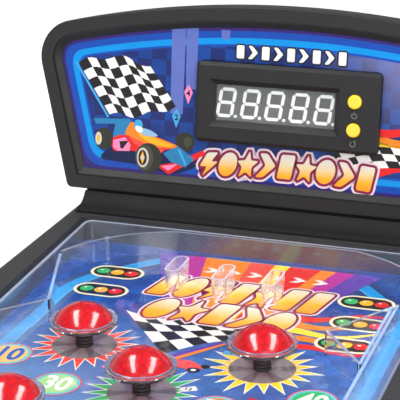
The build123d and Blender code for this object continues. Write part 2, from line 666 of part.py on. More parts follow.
def display_digits():
    """Raised light bars of five slanted digits with their points."""
    front = BEZEL_FRONT + BLOCK_DEPTH - SEGMENT_PROUD
    wx, wz = window_centre()
    span = DIGIT_WIDTH - SEGMENT
    rise = (DIGIT_HEIGHT - SEGMENT) / 2
    shear = math.tan(math.radians(DIGIT_SLANT))
    bars = []
    for i in range(5):
        middle = wx - 2 * DIGIT_PITCH + i * DIGIT_PITCH - 0.4
        for level in (-1, 0, 1):
            z = level * rise
            bars.append(Pos(middle + z * shear, wz + z) * segment(span - 0.5))
        for level in (-0.5, 0.5):
            for side in (-0.5, 0.5):
                z = level * rise
                leaned = Rot(0, 0, 90 - DIGIT_SLANT) * segment(rise - 0.5)
                bars.append(Pos(middle + side * span + z * shear, wz + z) * leaned)
        bars.append(Pos(middle + DIGIT_WIDTH / 2 + 0.6, wz - rise) * Circle(SEGMENT / 2))
    solids = [head_plate(bar, front, front + SEGMENT_PROUD) for bar in bars]
    return HEAD * Compound(solids)


def digit_block():
    """Black block that carries the digits, on a foot that stands on the display board."""
    front = BEZEL_FRONT + BLOCK_DEPTH
    wx, wz = window_centre()
    block = head_plate(Pos(wx, wz) * Rectangle(WINDOW[0] - 4, WINDOW[1] - 4), front, front + 4)
    foot = head_plate(Pos(wx, wz) * Rectangle(WINDOW[0] - 20, 6), front + 3.5, BOARD_DEPTH)
    return HEAD * (block + foot)


def display_board():
    """Circuit board behind the display, with a small switch behind each key."""
    _, wz = window_centre()
    plan = Pos(BEZEL_X, wz) * Rectangle(BEZEL[0] - 6, BEZEL[1] - 10)
    board = head_plate(plan, BOARD_DEPTH, BOARD_DEPTH + 1.6)
    for name in KEYS_DOWN:
        switch = Pos(*key_centre(name)) * Rectangle(6.0, 6.0)
        board += head_plate(switch, BOARD_DEPTH - SWITCH, BOARD_DEPTH + 0.5)
    return HEAD * board


def key_button(name):
    """Round yellow key with a collar behind the bezel."""
    centre = Pos(*key_centre(name))
    cap = head_plate(centre * Circle(KEY_R), BEZEL_FRONT - 2.0, BEZEL_FRONT + 5)
    cap = fillet(cap.faces().sort_by(Axis.Y)[0].edges(), 1.0)
    flange = head_plate(centre * Circle(KEY_FLANGE_R), BEZEL_FRONT + 4.3, BEZEL_FRONT + 5.5)
    stem = head_plate(centre * Circle(1.8), BEZEL_FRONT + 5, BOARD_DEPTH - SWITCH - KEY_TRAVEL - 0.1)
    return HEAD * (cap + flange + stem)


def head_rear():
    """Rear shell, drawn in a little from the front frame, with sound slots."""
    shell = head_plate(head_outline(1.5), HEAD_DEPTH, HEAD_DEPTH + REAR_DEPTH)
    shell = fillet(shell.faces().sort_by(Axis.Y)[-1].edges(), 5.0)
    shell -= head_plate(head_outline(1.5 + WALL), HEAD_DEPTH - 1, HEAD_DEPTH + REAR_DEPTH - WALL)
    for i in range(7):
        slot = Pos(0, 45 + 7 * i) * SlotOverall(70, 3)
        shell -= head_plate(slot, HEAD_DEPTH + 1, HEAD_DEPTH + REAR_DEPTH + 1)
    for x, z in HEAD_SCREWS:
        shell += head_plate(Pos(x, z) * Circle(BOSS_R), HEAD_DEPTH, HEAD_DEPTH + REAR_DEPTH - 1)
        shell -= head_plate(Pos(x, z) * Circle(SCREW_HEAD_R + 0.3), HEAD_DEPTH + REAR_DEPTH - 3, FAR)
        shell -= head_plate(Pos(x, z) * Circle(SCREW_R + 0.2), 0, FAR)
    return HEAD * shell


def head_screws():
    at = HEAD_DEPTH + REAR_DEPTH - 3
    return HEAD * Compound([Pos(x, at, z) * Rot(90, 0, 0) * screw(8) for x, z in HEAD_SCREWS])


# ---- the machine ----
keep("cabinet_shell", cabinet_shell())
keep("top_frame", top_frame())
keep("backbox_neck", backbox_neck())
keep("playfield_board", playfield_board())
keep("playfield_sheet", playfield_sheet())
keep("battery_door", battery_door())
keep("battery_cells", battery_cells())
keep("battery_contacts", battery_contacts())
keep("rubber_feet", rubber_feet())
keep("cabinet_screws", cabinet_screws())
keep("perimeter_wall", perimeter_wall())
keep("arch_guide", arch_guide())
keep("left_deflector", left_deflector())
keep("right_deflector", right_deflector())
keep("lane_wall", lane_wall())
keep("lane_posts", lane_posts())
keep("apron", apron())
keep("inlane_guides", inlane_guides())
keep("slingshots", slingshots())
for number, centre in enumerate(BUMPERS, start=1):
    place = PLAY * Pos(*centre, 0)
    keep(f"bumper_{number}_stem", place * bumper_stem())
    keep(f"bumper_{number}_dish", place * bumper_dish())
    keep(f"bumper_{number}_dome", place * bumper_dome())
for word, side in zip(("left", "right"), SIDES):
    keep(f"{word}_flipper", flipper(side))
    keep(f"{word}_crank", flipper_crank(side))
    keep(f"{word}_flipper_button", flipper_button(side))
    keep(f"{word}_button_spring", button_spring(side))
keep("plunger_rod", plunger_rod())
keep("plunger_knob", plunger_knob())
keep("plunger_bush", plunger_bush())
keep("plunger_spring", plunger_spring())
keep("steel_ball", steel_ball())
keep("main_board", main_board())
keep("speaker", speaker())
keep("head_front", head_front())
keep("head_rear", head_rear())
keep("art_panel", art_panel())
keep("display_bezel", display_bezel())
keep("display_window", display_window())
keep("display_digits", display_digits())
keep("digit_block", digit_block())
keep("display_board", display_board())
for name in KEYS_DOWN:
    keep(name, key_button(name))
keep("head_screws", head_screws())

# The origin is on the table, under the middle of the machine's box.
boxes = [shape.bounding_box() for shape in placed.values()]
front = min(box.min.Y for box in boxes)
rear = max(box.max.Y for box in boxes)
CENTRE_SHIFT = Pos(0, -(front + rear) / 2, 0)

os.makedirs("parts", exist_ok=True)
for name, shape in placed.items():
    export_step(CENTRE_SHIFT * shape, f"parts/{name}.step")
print(f"{len(placed)} pieces, {rear - front:.2f} long, moved {-(front + rear) / 2:.3f} along Y")
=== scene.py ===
"""Looks of the tabletop pinball machine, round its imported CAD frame. Metres; the art is laid out in mm."""
import json
import math
import random

import bmesh
import bpy
from mathutils import Matrix, Vector


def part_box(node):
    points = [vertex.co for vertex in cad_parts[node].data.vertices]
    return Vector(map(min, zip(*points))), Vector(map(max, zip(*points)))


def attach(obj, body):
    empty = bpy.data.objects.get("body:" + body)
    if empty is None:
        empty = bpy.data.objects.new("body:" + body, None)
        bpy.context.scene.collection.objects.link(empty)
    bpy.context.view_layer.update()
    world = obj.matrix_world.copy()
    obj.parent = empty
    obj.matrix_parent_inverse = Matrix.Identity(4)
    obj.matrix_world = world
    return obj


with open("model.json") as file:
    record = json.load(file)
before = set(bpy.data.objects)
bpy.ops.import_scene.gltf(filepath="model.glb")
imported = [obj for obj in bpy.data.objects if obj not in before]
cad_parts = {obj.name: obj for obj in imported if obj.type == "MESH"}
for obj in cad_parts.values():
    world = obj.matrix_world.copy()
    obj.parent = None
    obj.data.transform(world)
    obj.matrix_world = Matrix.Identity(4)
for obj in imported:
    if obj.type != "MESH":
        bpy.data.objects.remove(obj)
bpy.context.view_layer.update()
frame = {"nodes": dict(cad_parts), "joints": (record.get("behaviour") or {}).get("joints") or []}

MM = 0.001
nodes = frame["nodes"]
joints = {joint["name"]: joint for joint in frame["joints"]}

# ---- the two printed planes ----
# On the playfield: x to the right, y up the slope, z off the print.
# On the head: x to the right, y up the head, z off the panel.
FLIPPER_PIVOT = (-54.0, 86.0)       # the left flipper's pivot on the print
HEAD_FOOT = 459.4                   # the head's front plane meets the print here
HEAD_LIFT = 28.2                    # lower edge of the head, up its front plane
PANEL_DEPTH = 4.8                   # art panel behind that plane


def basis(origin, right, up, off):
    """The matrix of a plane's own axes."""
    matrix = Matrix((right, up, off)).transposed().to_4x4()
    matrix.translation = origin
    return matrix


RIGHT = Vector((1, 0, 0))
OFF_PRINT = Vector(joints["left_flipper_turn"]["axis"]).normalized()
UPHILL = OFF_PRINT.cross(RIGHT)
pivot = Vector(joints["left_flipper_turn"]["pos_m"])
print_origin = pivot - RIGHT * FLIPPER_PIVOT[0] * MM - UPHILL * FLIPPER_PIVOT[1] * MM
PLAY = basis(print_origin, RIGHT, UPHILL, OFF_PRINT)
INTO_HEAD = Vector(joints["power_button_push"]["axis"]).normalized()
HEAD_UP = RIGHT.cross(INTO_HEAD)
head_origin = print_origin + UPHILL * HEAD_FOOT * MM + HEAD_UP * HEAD_LIFT * MM
ART = basis(head_origin + INTO_HEAD * PANEL_DEPTH * MM, RIGHT, HEAD_UP, -INTO_HEAD)


def on_plane(plane, point):
    """A world point in a plane's own mm."""
    return plane.inverted() @ Vector(point) / MM


def box_on(plane, node):
    """A node's box in a plane's own mm."""
    points = [on_plane(plane, v.co) for v in nodes[node].data.vertices]
    return [min(p[i] for p in points) for i in range(3)], [max(p[i] for p in points) for i in range(3)]


# ---- colours ----
WHITE = (0.76, 0.74, 0.70)
CREAM = (0.78, 0.70, 0.48)
BLACK = (0.012, 0.012, 0.014)
NAVY = (0.012, 0.035, 0.16)
BLUE = (0.015, 0.11, 0.42)
CYAN = (0.0, 0.25, 0.60)
SKY = (0.05, 0.33, 0.62)
PURPLE = (0.10, 0.04, 0.33)
MAGENTA = (0.42, 0.02, 0.27)
PINK = (0.85, 0.22, 0.42)
RED = (0.68, 0.015, 0.015)
CORAL = (0.72, 0.07, 0.05)
ORANGE = (0.78, 0.20, 0.012)
AMBER = (0.84, 0.40, 0.015)
YELLOW = (0.82, 0.60, 0.03)
GREEN = (0.03, 0.40, 0.12)
MAROON = (0.22, 0.015, 0.06)
LAVENDER = (0.42, 0.42, 0.68)
# pale blue of the painted reflection (sheen) over the front of the playfield
PAINTED_SHEEN_BLUE = (0.19, 0.33, 0.56)
PEACH = (0.84, 0.46, 0.16)
BLUSH = (0.78, 0.42, 0.34)
PALE_GREEN = (0.33, 0.60, 0.24)
PALE_YELLOW = (0.82, 0.72, 0.24)
AQUA = (0.10, 0.46, 0.56)
HEAD_BLUE = (0.006, 0.06, 0.36)
STEEL_BLUE = (0.02, 0.18, 0.38)
SILVER = (0.55, 0.53, 0.48)
ICON = (0.17, 0.17, 0.17)
TITLE_PALE = (0.72, 0.60, 0.63)
TITLE_STOPS = ((0.0, (0.86, 0.27, 0.012)), (0.40, (0.84, 0.42, 0.03)), (0.75, (0.74, 0.60, 0.34)),
               (1.0, (0.70, 0.66, 0.58)))


def rgba(colour, gain=1.0):
    return tuple(min(1.0, c * gain) for c in colour[:3]) + (1.0,)


class Look:
    """A material with a Principled shader, and short ways to add nodes to it."""

    def __init__(self, name, plane=None, **values):
        self.material = bpy.data.materials.new(name)
        self.material.use_nodes = True
        self.nodes = self.material.node_tree.nodes
        self.links = self.material.node_tree.links
        self.shader = self.nodes["Principled BSDF"]
        self.place = self.add("TexCoord", output="Object")
        if plane is not None:
            self.place = self.add("Mapping", {
                "Vector": self.place, "Location": plane.translation, "Rotation": plane.to_euler()},
                vector_type="TEXTURE")
        self.set(**values)

    def set(self, **values):
        for name, value in values.items():
            self.put(self.shader.inputs[name.replace("_", " ")], value)

    def put(self, socket, value):
        if isinstance(value, bpy.types.NodeSocket):
            self.links.new(value, socket)
        else:
            socket.default_value = value

    def add(self, kind, inputs=None, output=0, **settings):
        node = self.nodes.new("ShaderNode" + kind)
        for name, value in settings.items():
            setattr(node, name, value)
        for name, value in (inputs or {}).items():
            self.put(node.inputs[name], value)
        return node.outputs[output]

    def noise(self, scale, detail=2.0, rough=0.5, output="Fac"):
        return self.add("TexNoise", {"Vector": self.place, "Scale": scale, "Detail": detail,
                                     "Roughness": rough}, output)

    def math(self, operation, a, b=0.0):
        return self.add("Math", {0: a, 1: b}, operation=operation)

    def remap(self, value, low, high, start, end):
        return self.add("MapRange", {0: value, 1: low, 2: high, 3: start, 4: end})

    def mix(self, factor, a, b, blend="MIX"):
        return self.add("Mix", {0: factor, 6: a, 7: b}, 2, data_type="RGBA", blend_type=blend)

    def ramp(self, value, *stops):
        node = self.nodes.new("ShaderNodeValToRGB")
        while len(node.color_ramp.elements) < len(stops):
            node.color_ramp.elements.new(0.5)
        for element, (position, colour) in zip(node.color_ramp.elements, stops):
            element.position, element.color = position, rgba(colour)
        self.links.new(value, node.inputs[0])
        return node.outputs[0]

    def axis(self, index):
        return self.add("SeparateXYZ", {0: self.place}, index)

    def bump(self, height, distance, strength=1.0):
        self.set(Normal=self.add("Bump", {"Height": height, "Distance": distance, "Strength": strength}))

    def rough(self, middle, spread, scale=40.0):
        self.set(Roughness=self.remap(self.noise(scale, 4.0), 0.3, 0.7, middle - spread, middle + spread))

    def mottle(self, colour, amount, scale):
        """colour with a slight uneven tone."""
        return self.mix(self.noise(scale, 3.0), rgba(colour, 1 - amount), rgba(colour, 1 + amount))

    def lets_light_through(self, tint=(1, 1, 1)):
        """Shadow rays pass, tinted, as they do through thin clear plastic."""
        output = self.nodes["Material Output"]
        through = self.add("BsdfTransparent", {"Color": rgba(tint)})
        shadow = self.add("LightPath", output="Is Shadow Ray")
        self.put(output.inputs["Surface"],
                 self.add("MixShader", {0: shadow, 1: self.shader.outputs[0], 2: through}))
        return self


# ---- moulded, metal and clear finishes, by the record's slots ----
def moulded(name, colour, rough, grain=2600.0, depth=0.00004, coat=0.0, shine=0.5):
    """Injection-moulded plastic: fine spark texture, slight sink marks and handling marks."""
    look = Look(name)
    fine = look.noise(grain, 2.0, 0.6)
    broad = look.noise(35.0, 3.0)
    look.set(Base_Color=look.mix(broad, rgba(colour, 0.88), rgba(colour, 1.14)), Coat_Weight=coat,
             Coat_Roughness=0.1,
             Specular_IOR_Level=shine)
    look.rough(rough, 0.05)
    look.bump(look.math("ADD", fine, look.math("MULTIPLY", broad, 0.6)), depth, 0.5)
    return look.material


# height off the print where the painted highlight on the clear walls' top edges begins, and where it is full
RIM_HIGHLIGHT_FROM, RIM_HIGHLIGHT_FULL = 0.0125, 0.0140


def clear(name, colour, rough, rim_highlight_strength, haziness=0.015):
    """Clear styrene: slightly hazy, with a painted highlight along the upper edges, pale and less clear, its
    strength given after the roughness.
    """
    look = Look(name, PLAY, Base_Color=rgba(colour), IOR=1.46)
    # painted highlight: up-facing faces near the walls' tops get a paler colour and less transmission
    facing = look.add("VectorMath", {0: look.add("NewGeometry", output="Normal"), 1: OFF_PRINT}, "Value",
                      operation="DOT_PRODUCT")
    above = look.remap(look.axis(2), RIM_HIGHLIGHT_FROM, RIM_HIGHLIGHT_FULL, 0.0, 1.0)
    rim_highlight = look.math("MULTIPLY", look.remap(facing, 0.80, 0.97, 0.0, 1.0), above)
    haze_and_sheen = look.remap(look.noise(45.0, 3.0), 0.35, 0.65, 0.4 * haziness, haziness)
    look.set(Transmission_Weight=look.math("SUBTRACT", 1.0,
                                           look.math("MAXIMUM", haze_and_sheen, look.math("MULTIPLY", rim_highlight, rim_highlight_strength))),
             Base_Color=look.mix(rim_highlight, rgba(colour), rgba((0.52, 0.56, 0.70))))
    look.rough(rough, rough * 0.5, 120.0)
    look.bump(look.noise(220.0, 2.0), 0.00003, 0.35)
    return look.lets_light_through((0.93, 0.95, 0.97)).material


def dome_red():
    """Translucent red lens: cut facets on the inside show as a fine net, and the skin is polished."""
    look = Look("dome_red", Transmission_Weight=0.22, IOR=1.47, Coat_Weight=1.0, Coat_Roughness=0.03,
                Roughness=0.22)
    cells = look.add("TexVoronoi", {"Vector": look.place, "Scale": 330.0}, "Distance")
    facets = look.remap(cells, 0.0, 0.7, 0.0, 1.0)
    look.set(Base_Color=look.mix(facets, rgba((0.74, 0.009, 0.020)), rgba((0.50, 0.004, 0.010))))
    look.bump(facets, 0.0002, 0.30)
    look.set(Coat_Normal=look.add("Bump", {"Height": look.noise(50.0), "Distance": 0.0001, "Strength": 0.2}))
    return look.lets_light_through((0.55, 0.05, 0.05)).material


def metal(name, colour, rough, grain):
    look = Look(name, Metallic=1.0, Base_Color=rgba(colour))
    look.rough(rough, rough * 0.4, grain)
    look.bump(look.noise(grain * 4, 3.0), 0.00001, 0.3)
    return look.material


def circuit():
    """Green solder mask with copper tracks under it and tinned pads."""
    look = Look("solder_mask", Coat_Weight=0.6, Coat_Roughness=0.12)
    tracks = look.add("TexWave", {"Vector": look.place, "Scale": 90.0, "Distortion": 6.0, "Detail": 2.0},
                      "Fac")
    pads = look.add("TexVoronoi", {"Vector": look.place, "Scale": 240.0, "Randomness": 0.2}, "Distance")
    mask = look.mix(look.remap(tracks, 0.45, 0.55, 0.0, 1.0), rgba((0.01, 0.12, 0.05)),
                    rgba((0.02, 0.20, 0.08)))
    tinned = look.remap(pads, 0.14, 0.18, 1.0, 0.0)
    look.set(Base_Color=look.mix(tinned, mask, rgba((0.55, 0.55, 0.56))), Roughness=0.35)
    look.bump(tracks, 0.00003, 0.4)
    return look.material


def fibre(name, colour, scale):
    """Pressed fibre or paper."""
    look = Look(name)
    fibres = look.noise(scale, 8.0, 0.7)
    look.set(Base_Color=look.ramp(fibres, (0.3, [c * 0.6 for c in colour]),
                                  (0.7, [c * 1.25 for c in colour])), Roughness=0.85)
    look.bump(fibres, 0.0001, 0.5)
    return look.material


def cell_sleeve():
    """Printed shrink sleeve of an AA cell: dark green with a copper-coloured end."""
    look = Look("cell_sleeve", Metallic=0.3, Roughness=0.3)
    low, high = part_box("battery_cells")
    along = look.remap(look.axis(1), low.y, high.y, 0.0, 1.0)
    look.set(Base_Color=look.ramp(along, (0.0, (0.45, 0.20, 0.07)), (0.28, (0.45, 0.20, 0.07)),
                                  (0.30, (0.02, 0.16, 0.08)),
                                  (1.0, (0.03, 0.20, 0.10))))
    look.bump(look.noise(300.0), 0.00003, 0.3)
    return look.material


black = moulded("black_moulding", (0.013, 0.013, 0.014), 0.50, shine=0.34)
steel = metal("steel", (0.56, 0.56, 0.58), 0.25, 300.0)
SLOT_LOOKS = {
    "black_plastic": black,
    "hardboard": fibre("hardboard", (0.30, 0.20, 0.12), 900.0),
    "clear_plastic": clear("clear_styrene", (0.95, 0.965, 0.98), 0.05, 0.42),
    "red_dome": dome_red(),
    "black_rubber": moulded("black_rubber", (0.016, 0.016, 0.016), 0.6, 1500.0, 0.00006),
    "red_plastic": moulded("red_moulding", (0.62, 0.012, 0.014), 0.25, 2000.0, 0.00002, 0.5),
    "blue_plastic": moulded("blue_moulding", (0.015, 0.07, 0.33), 0.28, 2000.0, 0.00002, 0.4),
    "steel": steel,
    "ball_chrome": metal("ball_chrome", (0.78, 0.78, 0.80), 0.06, 150.0),
    "cell_metal": cell_sleeve(),
    "circuit_board": circuit(),
    "speaker_black": fibre("speaker_cone", (0.03, 0.03, 0.03), 700.0),
    "segment_grey": moulded("segment_milky", (0.60, 0.60, 0.56), 0.35, 1800.0, 0.00002),
    "yellow_key": moulded("yellow_key", (0.90, 0.55, 0.010), 0.22, 2200.0, 0.00002, 0.6),
}
for node in nodes.values():
    look = SLOT_LOOKS.get(node.data.materials[0].name.split(".")[0])
    if look is not None:
        node.data.materials[0] = look
# the dish's faint pink is painted light: the red of the dome above, seen in the clear cup, put into its
# colour
dish = clear("clear_dish", (0.99, 0.93, 0.935), 0.03, 0.14)
for k in range(1, 6):
    nodes[f"bumper_{k}_dish"].data.materials[0] = dish
# the posts get a strong painted highlight on their top edges
nodes["lane_posts"].data.materials[0] = clear("clear_post", (0.96, 0.95, 0.97), 0.08, 0.85, 0.07)
# the neck's copy of the black plastic is a shade darker: painted shade under the head's overhang
nodes["backbox_neck"].data.materials[0] = moulded("black_neck_painted_shade", (0.010, 0.010, 0.011), 0.62, shine=0.16)
# the rail's copy of the black plastic is over twice as light: painted sheen on its top
nodes["top_frame"].data.materials[0] = moulded("black_rail_painted_sheen", (0.030, 0.030, 0.031), 0.47, shine=0.44)


# ---- printed surfaces ----
def gloss(look, plane):
    """Clear varnish over ink: a faint orange-peel and light scuffs. The head's is flatter."""
    coat, shine = (0.7, 0.35) if plane is PLAY else (0.12, 0.15)
    look.set(Coat_Weight=coat, Coat_Roughness=0.055, Specular_IOR_Level=shine)
    look.rough(0.30, 0.06, 60.0)
    look.bump(look.noise(420.0, 2.0), 0.00002, 0.22)


def checks(look, size, a, b):
    """Faint squares of two blues."""
    squares = look.add("TexChecker", {"Vector": look.place, "Scale": 1 / (size * MM)}, "Fac")
    patches = look.remap(look.noise(28.0, 1.0), 0.35, 0.65, 0.15, 0.85)
    return look.mix(look.math("MULTIPLY", squares, patches), rgba(a), rgba(b))


def play_print():
    """The playfield's blue ground with squares: a painted pale reflection (sheen) lightens it to the front
    left, and it turns darker navy to the rear.
    """
    look = Look("playfield_print", PLAY)
    ground = checks(look, 11.0, (0.006, 0.050, 0.25), (0.014, 0.095, 0.37))
    # painted reflection: a patchy pale sheen over the front left of the playfield
    front = look.remap(look.axis(1), 0.35, 0.20, 0.0, 0.9)
    left = look.remap(look.axis(0), 0.05, -0.08, 0.0, 1.0)
    haze_and_sheen = look.remap(look.noise(16.0, 2.0), 0.3, 0.7, 0.6, 1.0)
    painted_sheen = look.math("MULTIPLY", look.math("MULTIPLY", front, haze_and_sheen), look.remap(left, 0.0, 1.0, 0.35, 1.0))
    ground = look.mix(painted_sheen, ground, rgba(PAINTED_SHEEN_BLUE))
    dark = look.remap(look.axis(1), 0.36, 0.43, 0.0, 0.6)
    look.set(Base_Color=look.mix(dark, ground, rgba((0.008, 0.035, 0.17))))
    gloss(look, PLAY)
    return look.material


def head_print():
    """The head panel's navy ground with squares, lighter towards the upper right."""
    look = Look("head_print", ART)
    ground = checks(look, 10.0, (0.010, 0.020, 0.12), (0.006, 0.060, 0.30))
    light = look.math("MULTIPLY", look.remap(look.axis(0), 0.02, 0.12, 0.0, 1.0),
                      look.remap(look.axis(1), 0.05, 0.11, 0.0, 0.75))
    look.set(Base_Color=look.mix(light, ground, rgba(LAVENDER)))
    gloss(look, ART)
    return look.material


nodes["playfield_sheet"].data.materials[0] = play_print()
nodes["art_panel"].data.materials[0] = head_print()

inks = {}


def ink(name, colour, plane=PLAY):
    """Screen-printed ink with a fine dot screen. colour may be a gradient: (axis, from mm, to mm, stops)."""
    key = name + ("_play" if plane is PLAY else "_head")
    if key not in inks:
        look = Look("ink_" + key, plane)
        if len(colour) == 4:
            axis, start, end, stops = colour
            along = look.remap(look.axis(axis), start * MM, end * MM, 0.0, 1.0)
            base = look.ramp(along, *stops)
        else:
            base = rgba(colour)
        dots = look.add("TexVoronoi", {"Vector": look.place, "Scale": 1300.0, "Randomness": 0.0}, "Distance")
        tone = look.math("MULTIPLY", look.remap(dots, 0.2, 0.6, 0.0, 0.10), look.noise(90.0))
        look.set(Base_Color=look.mix(tone, base, rgba((0.02, 0.02, 0.03))))
        gloss(look, plane)
        inks[key] = look.material
    return inks[key]


FILM = 0.03                         # thickness of one layer of ink, mm


class Print:
    """Ink films on one plane, gathered into one piece for each ink."""

    def __init__(self, prefix, plane, body="cabinet"):
        self.prefix, self.plane, self.body, self.meshes = prefix, plane, body, {}

    def lay(self, name, colour, layer, *faces):
        """faces are lists of points in mm. Layer 1 lies on the sheet and higher ones cover it."""
        mesh, _ = self.meshes.setdefault(name, (bmesh.new(), ink(name, colour, self.plane)))
        corners, made = {}, []
        for face in faces:
            ring = []
            for x, y in face:
                key = (round(x, 4), round(y, 4))
                if key not in corners:
                    corners[key] = mesh.verts.new(self.plane @ (Vector((x, y, layer * FILM)) * MM))
                if corners[key] not in ring:
                    ring.append(corners[key])
            if len(ring) > 2:
                made.append(mesh.faces.new(ring))
        grown = bmesh.ops.extrude_face_region(mesh, geom=made, use_keep_orig=True)["geom"]
        down = self.plane.to_3x3() @ Vector((0, 0, -0.9 * FILM * MM))
        bmesh.ops.translate(mesh, vec=down, verts=[v for v in grown if isinstance(v, bmesh.types.BMVert)])

    def finish(self):
        for name, (mesh, material) in self.meshes.items():
            bmesh.ops.recalc_face_normals(mesh, faces=mesh.faces)
            data = bpy.data.meshes.new(f"{self.prefix}_{name}")
            mesh.to_mesh(data)
            mesh.free()
            data.materials.append(material)
            piece = bpy.data.objects.new(data.name, data)
            bpy.context.scene.collection.objects.link(piece)
            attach(piece, self.body)


# ---- flat shapes, in mm ----
def turn(points, degrees, centre=(0, 0)):
    c, s = math.cos(math.radians(degrees)), math.sin(math.radians(degrees))
    return [(centre[0] + (x - centre[0]) * c - (y - centre[1]) * s,
             centre[1] + (x - centre[0]) * s + (y - centre[1]) * c)
            for x, y in points]


def oval(centre, half_width, half_height, steps=40):
    return [(centre[0] + half_width * math.cos(2 * math.pi * k / steps),
             centre[1] + half_height * math.sin(2 * math.pi * k / steps))
            for k in range(steps)]


def capsule(centre, length, width, steps=10):
    r = width / 2
    return [(centre[0] + side * (length / 2 - r) + r * math.cos(a), centre[1] + r * math.sin(a))
            for side, start in ((1, -math.pi / 2), (-1, math.pi / 2))
            for a in [start + math.pi * k / steps for k in range(steps + 1)]]


def star(centre, inner, outer, spikes, degrees=0.0, uneven=0.0, seed=1):
    draw = random.Random(seed)
    points = []
    for k in range(2 * spikes):
        reach = inner if k % 2 else outer * (1 - uneven * draw.random())
        angle = math.radians(degrees) + math.pi * k / spikes
        points.append((centre[0] + reach * math.cos(angle), centre[1] + reach * math.sin(angle)))
    return points


def curve(points, steps=5):
    """A smooth closed line through the points."""
    count, line = len(points), []
    for k in range(count):
        p0, p1, p2, p3 = (points[(k + d) % count] for d in (-1, 0, 1, 2))
        for s in range(steps):
            t = s / steps
            line.append(tuple(0.5 * (2 * b + (c - a) * t + (2 * a - 5 * b + 4 * c - d) * t * t
                                     + (3 * b - a - 3 * c + d) * t ** 3)
                              for a, b, c, d in zip(p0, p1, p2, p3)))
    return line


def grow(points, distance):
    """The outline moved outwards, corners mitred within reason."""
    area = sum(a[0] * b[1] - b[0] * a[1] for a, b in zip(points, points[1:] + points[:1]))
    sign = 1 if area > 0 else -1
    moved = []
    for before, here, after in zip(points[-1:] + points[:-1], points, points[1:] + points[:1]):
        first = Vector((here[1] - before[1], before[0] - here[0])) * sign
        second = Vector((after[1] - here[1], here[0] - after[0])) * sign
        if first.length < 1e-6 or second.length < 1e-6:
            first = second = first if first.length > second.length else second
        normal = first.normalized() + second.normalized()
        normal = normal.normalized() if normal.length > 1e-6 else first.normalized()
        reach = distance / max(0.55, normal.dot(first.normalized()))
        moved.append((here[0] + normal.x * reach, here[1] + normal.y * reach))
    return moved


def band(outer, inner, closed=True):
    """Quads between two lines of as many points."""
    last = len(outer) if closed else len(outer) - 1
    return [[outer[k], outer[(k + 1) % len(outer)], inner[(k + 1) % len(inner)], inner[k]]
            for k in range(last)]


def round_corners(points, radius, steps=6):
    """Corners of an outline cut back by radius and bent."""
    line = []
    for before, here, after in zip(points[-1:] + points[:-1], points, points[1:] + points[:1]):
        before, here, after = Vector(before), Vector(here), Vector(after)
        a = here + (before - here).normalized() * min(radius, (before - here).length * 0.45)
        b = here + (after - here).normalized() * min(radius, (after - here).length * 0.45)
        for k in range(steps + 1):
            t = k / steps
            line.append(tuple((1 - t) ** 2 * a + 2 * t * (1 - t) * here + t * t * b))
    return line


def grid(columns, rows, place):
    """Cells of a net: place(u, v) gives the point at u, v from 0 to 1. Returns (column, row, cell)."""
    for i in range(columns):
        for j in range(rows):
            u0, u1, v0, v1 = i / columns, (i + 1) / columns, j / rows, (j + 1) / rows
            middle = (u0 + u1) / 2
            yield i, j, [place(u0, v0), place(middle, v0), place(u1, v0), place(u1, v1), place(middle, v1),
                         place(u0, v1)]


def chequers(sheet, columns, rows, place, layer, light=WHITE):
    cells = list(grid(columns, rows, place))
    sheet.lay("white", light, layer, *[cell for _, _, cell in cells])
    sheet.lay("black", BLACK, layer + 1, *[cell for i, j, cell in cells if (i + j) % 2 == 0])


def numerals(sheet, name, colour, layer, digits, centre, height, squeeze=1.0):
    """A number in a plain bold face."""
    text = bpy.data.curves.new("number", "FONT")
    text.body, text.size, text.offset = digits, height * 1.45, height * 0.045
    text.align_x, text.align_y, text.resolution_u = "CENTER", "CENTER", 3
    holder = bpy.data.objects.new("number", text)
    bpy.context.scene.collection.objects.link(holder)
    bpy.context.view_layer.update()
    shape = bpy.data.meshes.new_from_object(holder)
    faces = [[(centre[0] + shape.vertices[v].co.x * squeeze, centre[1] + shape.vertices[v].co.y)
              for v in face.vertices]
             for face in shape.polygons]
    sheet.lay(name, colour, layer, *faces)
    bpy.data.objects.remove(holder)
    bpy.data.meshes.remove(shape)


MOTIFS = {
    "bar": [(0.12, 0), (0.88, 0), (0.88, 1), (0.12, 1)],
    "chevron": [(0, 0), (0.42, 0), (1, 0.5), (0.42, 1), (0, 1), (0.46, 0.5)],
    "disc": [(0.5 + 0.5 * math.cos(math.pi * k / 10), 0.5 + 0.5 * math.sin(math.pi * k / 10))
             for k in range(20)],
    "star": [(0.5 + x * 0.62, 0.47 + y * 0.62) for x, y in star((0, 0), 0.42, 1.0, 5, 90)],
    "bolt": [(0.25, 0), (1.0, 0.62), (0.6, 0.62), (0.9, 1), (0.3, 1), (0.0, 0.42), (0.42, 0.42)],
}


def title(sheet, name, motifs, left, right, low, high, slant, layer, arch=0.0, rise=0.0):
    """A row of chunky motifs in an orange gradient, outlined dark and then pale."""
    pitch = (right - left) / len(motifs)
    gradient = (1, low + min(0, rise), high + max(0, rise), TITLE_STOPS)
    for k, motif in enumerate(motifs):
        start = left + k * pitch
        points = []
        for x, y in round_corners(MOTIFS[motif], 0.12, 3) if motif != "disc" else MOTIFS[motif]:
            along = start + pitch * (0.03 + 0.94 * x)
            across = (along - left) / (right - left)
            lift = arch * math.sin(math.pi * across) + rise * across
            points.append((along + slant * (y - 0.5), low + lift + (high - low) * y))
        sheet.lay("title_pale", TITLE_PALE, layer, grow(points, 3.0))
        sheet.lay("title_dark", MAROON, layer + 1, grow(points, 1.7))
        sheet.lay(name, gradient, layer + 2, points)


# ---- playfield print ----
play = Print("playfield", PLAY)
bumpers = [on_plane(PLAY, joints[f"bumper_{k}_rock"]["pos_m"]) for k in range(1, 6)]
bumpers = [(b.x, b.y) for b in bumpers]

